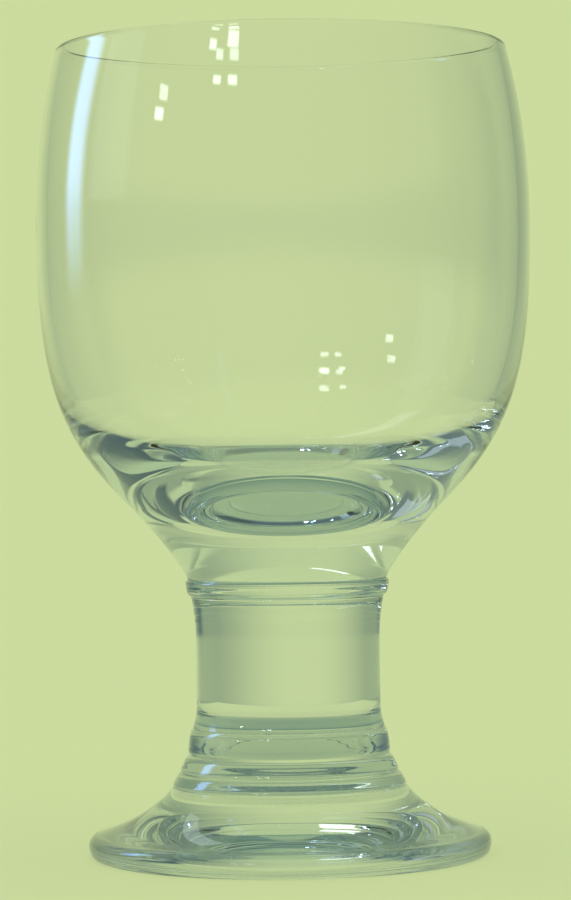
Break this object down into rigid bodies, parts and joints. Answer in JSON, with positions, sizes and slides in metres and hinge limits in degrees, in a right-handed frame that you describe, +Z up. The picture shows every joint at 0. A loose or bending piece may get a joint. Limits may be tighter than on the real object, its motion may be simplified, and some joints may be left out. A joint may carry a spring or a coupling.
{
  "type": "water goblet",
  "caption": "Clear glass water goblet: deep rounded bowl on a solid base, beaded neck, short solid stem, stacked rings and a heavy spreading foot.",
  "frame": {"origin": "centre of the base, on the surface that the goblet stands on", "axes": "+Z up along the axis of the goblet; X and Y are any two level directions, because the goblet is round"},
  "size_m": [0.0918, 0.0918, 0.15],
  "materials": {
    "bowl_glass": "clear, fire-polished",
    "stem_glass": "clear, fire-polished",
    "foot_glass": "clear, fire-polished, lightly rubbed underneath"
  },
  "bodies": {
    "root": {"bowl": "bowl_glass", "neck_collar": "stem_glass", "stem": "stem_glass", "upper_ring": "stem_glass", "middle_ring": "stem_glass", "lower_ring": "stem_glass", "foot": "foot_glass"}
  },
  "joints": []
}
